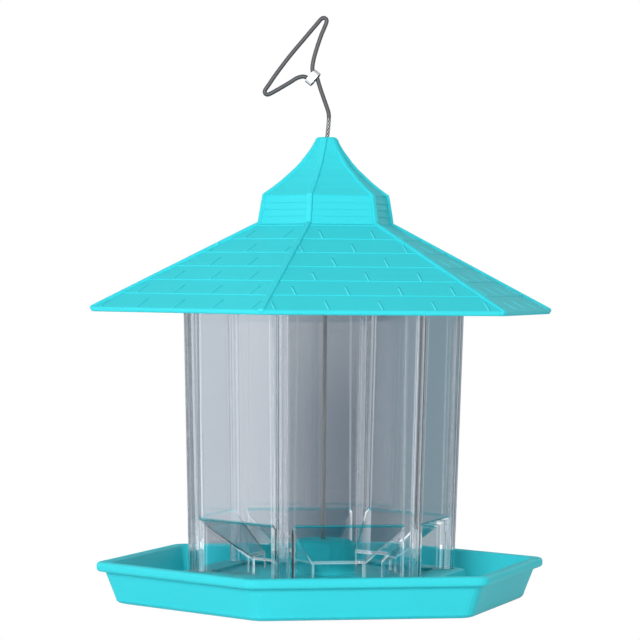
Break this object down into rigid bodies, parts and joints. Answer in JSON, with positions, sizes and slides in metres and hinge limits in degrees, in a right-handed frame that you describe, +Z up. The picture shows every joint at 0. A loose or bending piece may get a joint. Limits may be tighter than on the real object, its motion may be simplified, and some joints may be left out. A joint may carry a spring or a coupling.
{
  "type": "hanging bird feeder",
  "caption": "Six-sided hanging bird feeder: a shingled turquoise roof over a clear seed hopper in a shallow tray, held by a steel wire rope with a loop.",
  "frame": {"origin": "middle of the tray's underside, on the wire's axis", "axes": "+Z up along the wire, -Y out of the front face, +X through the right-hand corner column"},
  "size_m": [0.248, 0.2218, 0.3035],
  "materials": {
    "turquoise_plastic": "moulded turquoise plastic, soft gloss",
    "clear_plastic": "clear moulded plastic, glossy",
    "wire_steel": "twisted steel wire rope, dull grey",
    "sleeve_metal": "pale grey crimped metal"
  },
  "bodies": {
    "base": {"tray": "turquoise_plastic", "hopper_panel_1": "clear_plastic", "hopper_panel_2": "clear_plastic", "hopper_panel_3": "clear_plastic", "hopper_panel_4": "clear_plastic", "hopper_panel_5": "clear_plastic", "hopper_panel_6": "clear_plastic"},
    "roof": {"roof": "turquoise_plastic"},
    "cable": {"hanger_cable": "wire_steel", "cable_lead": "wire_steel", "end_stop": "sleeve_metal", "boss_washer": "sleeve_metal"},
    "loop": {"cable_loop": "wire_steel", "loop_ferrule": "sleeve_metal"}
  },
  "joints": [
    {"name": "roof_lift", "type": "slide", "parent": "base", "child": "roof", "axis": [0, 0, 1], "range_m": [0, 0.025]},
    {"name": "cable_swivel", "type": "hinge", "parent": "base", "child": "cable", "pos_m": [0, 0, 0.02], "axis": [0, 0, 1], "continuous": true},
    {"name": "cable_flex", "type": "hinge", "parent": "cable", "child": "loop", "pos_m": [0.00103, -0.00023, 0.25065], "axis": [0.2181, 0.9759, 0], "range_deg": [0, 17.2]}
  ],
  "couplings": [
    {"joint": "cable_flex", "follows": "roof_lift", "rad_per_m": 12}
  ]
}
